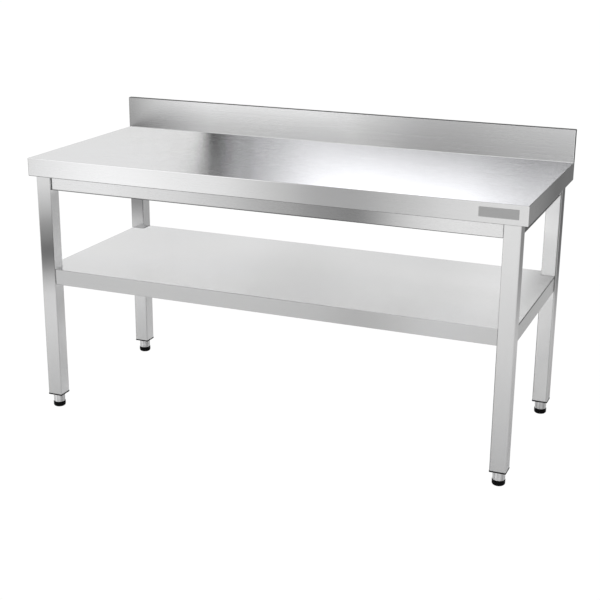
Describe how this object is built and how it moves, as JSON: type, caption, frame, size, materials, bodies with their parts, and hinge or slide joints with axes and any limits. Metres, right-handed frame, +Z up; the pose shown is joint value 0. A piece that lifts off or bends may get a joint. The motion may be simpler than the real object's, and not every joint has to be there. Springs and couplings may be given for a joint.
{
  "type": "work table",
  "caption": "Brushed stainless kitchen work table: folded worktop with rear upstand, square legs on screw-adjustable feet, aprons and a folded lower shelf.",
  "frame": {"origin": "on the floor under the middle of the table's footprint", "axes": "+X to the table's right seen from the front, +Y to the rear where the upstand is, +Z up"},
  "size_m": [1.6, 0.6608, 0.955],
  "materials": {
    "worktop_steel": "fine brushed along the length, light reflections",
    "core_board": "raw pressed wood-particle board",
    "channel_steel": "plain mill finish sheet",
    "leg_steel": "fine brushed along the tube",
    "apron_steel": "fine brushed along the rail",
    "shelf_steel": "fine brushed along the length, matt",
    "fastener_steel": "plain A2 stainless fasteners",
    "stem_steel": "threaded rod, plain",
    "sleeve_steel": "turned and lightly polished",
    "plug_plastic": "black moulded plastic, satin",
    "tip_plastic": "black moulded plastic, satin",
    "plate_grey": "blank grey plate, fine brushed"
  },
  "bodies": {
    "table": {"worktop_sheet": "worktop_steel", "worktop_core_board": "core_board", "worktop_channel_left": "channel_steel", "worktop_channel_right": "channel_steel", "leg_front_left": "leg_steel", "leg_front_right": "leg_steel", "leg_rear_left": "leg_steel", "leg_rear_right": "leg_steel", "apron_front": "apron_steel", "apron_rear": "apron_steel", "apron_left": "apron_steel", "apron_right": "apron_steel", "worktop_screw_front_left": "fastener_steel", "worktop_screw_front_right": "fastener_steel", "worktop_screw_rear_left": "fastener_steel", "worktop_screw_rear_right": "fastener_steel", "long_apron_bolt_front_left": "fastener_steel", "long_apron_bolt_front_right": "fastener_steel", "long_apron_bolt_rear_left": "fastener_steel", "long_apron_bolt_rear_right": "fastener_steel", "long_apron_nut_front_left": "fastener_steel", "long_apron_nut_front_right": "fastener_steel", "long_apron_nut_rear_left": "fastener_steel", "long_apron_nut_rear_right": "fastener_steel", "side_apron_bolt_front_left": "fastener_steel", "side_apron_bolt_front_right": "fastener_steel", "side_apron_bolt_rear_left": "fastener_steel", "side_apron_bolt_rear_right": "fastener_steel", "side_apron_nut_front_left": "fastener_steel", "side_apron_nut_front_right": "fastener_steel", "side_apron_nut_rear_left": "fastener_steel", "side_apron_nut_rear_right": "fastener_steel", "shelf_bolt_front_left": "fastener_steel", "shelf_bolt_front_right": "fastener_steel", "shelf_bolt_rear_left": "fastener_steel", "shelf_bolt_rear_right": "fastener_steel", "shelf_nut_front_left": "fastener_steel", "shelf_nut_front_right": "fastener_steel", "shelf_nut_rear_left": "fastener_steel", "shelf_nut_rear_right": "fastener_steel", "undershelf": "shelf_steel", "undershelf_channel": "channel_steel", "leg_plug_front_left": "plug_plastic", "leg_plug_front_right": "plug_plastic", "leg_plug_rear_left": "plug_plastic", "leg_plug_rear_right": "plug_plastic", "name_plate": "plate_grey"},
    "foot_lift_front_left": {"foot_stem_front_left": "stem_steel"},
    "foot_front_left": {"foot_sleeve_front_left": "sleeve_steel", "foot_tip_front_left": "tip_plastic"},
    "foot_lift_front_right": {"foot_stem_front_right": "stem_steel"},
    "foot_front_right": {"foot_sleeve_front_right": "sleeve_steel", "foot_tip_front_right": "tip_plastic"},
    "foot_lift_rear_left": {"foot_stem_rear_left": "stem_steel"},
    "foot_rear_left": {"foot_sleeve_rear_left": "sleeve_steel", "foot_tip_rear_left": "tip_plastic"},
    "foot_lift_rear_right": {"foot_stem_rear_right": "stem_steel"},
    "foot_rear_right": {"foot_sleeve_rear_right": "sleeve_steel", "foot_tip_rear_right": "tip_plastic"}
  },
  "joints": [
    {"name": "foot_lift_front_left", "type": "slide", "parent": "table", "child": "foot_lift_front_left", "axis": [0, 0, -1], "range_m": [-0.015, 0.025]},
    {"name": "foot_turn_front_left", "type": "hinge", "parent": "foot_lift_front_left", "child": "foot_front_left", "pos_m": [-0.755, -0.2926, 0.03], "axis": [0, 0, -1], "range_deg": [-3086, 5143]},
    {"name": "foot_lift_front_right", "type": "slide", "parent": "table", "child": "foot_lift_front_right", "axis": [0, 0, -1], "range_m": [-0.015, 0.025]},
    {"name": "foot_turn_front_right", "type": "hinge", "parent": "foot_lift_front_right", "child": "foot_front_right", "pos_m": [0.755, -0.2926, 0.03], "axis": [0, 0, -1], "range_deg": [-3086, 5143]},
    {"name": "foot_lift_rear_left", "type": "slide", "parent": "table", "child": "foot_lift_rear_left", "axis": [0, 0, -1], "range_m": [-0.015, 0.025]},
    {"name": "foot_turn_rear_left", "type": "hinge", "parent": "foot_lift_rear_left", "child": "foot_rear_left", "pos_m": [-0.755, 0.2934, 0.03], "axis": [0, 0, -1], "range_deg": [-3086, 5143]},
    {"name": "foot_lift_rear_right", "type": "slide", "parent": "table", "child": "foot_lift_rear_right", "axis": [0, 0, -1], "range_m": [-0.015, 0.025]},
    {"name": "foot_turn_rear_right", "type": "hinge", "parent": "foot_lift_rear_right", "child": "foot_rear_right", "pos_m": [0.755, 0.2934, 0.03], "axis": [0, 0, -1], "range_deg": [-3086, 5143]}
  ],
  "couplings": [
    {"joint": "foot_turn_front_left", "follows": "foot_lift_front_left", "rad_per_m": 3590.4},
    {"joint": "foot_turn_front_right", "follows": "foot_lift_front_right", "rad_per_m": 3590.4},
    {"joint": "foot_turn_rear_left", "follows": "foot_lift_rear_left", "rad_per_m": 3590.4},
    {"joint": "foot_turn_rear_right", "follows": "foot_lift_rear_right", "rad_per_m": 3590.4}
  ]
}
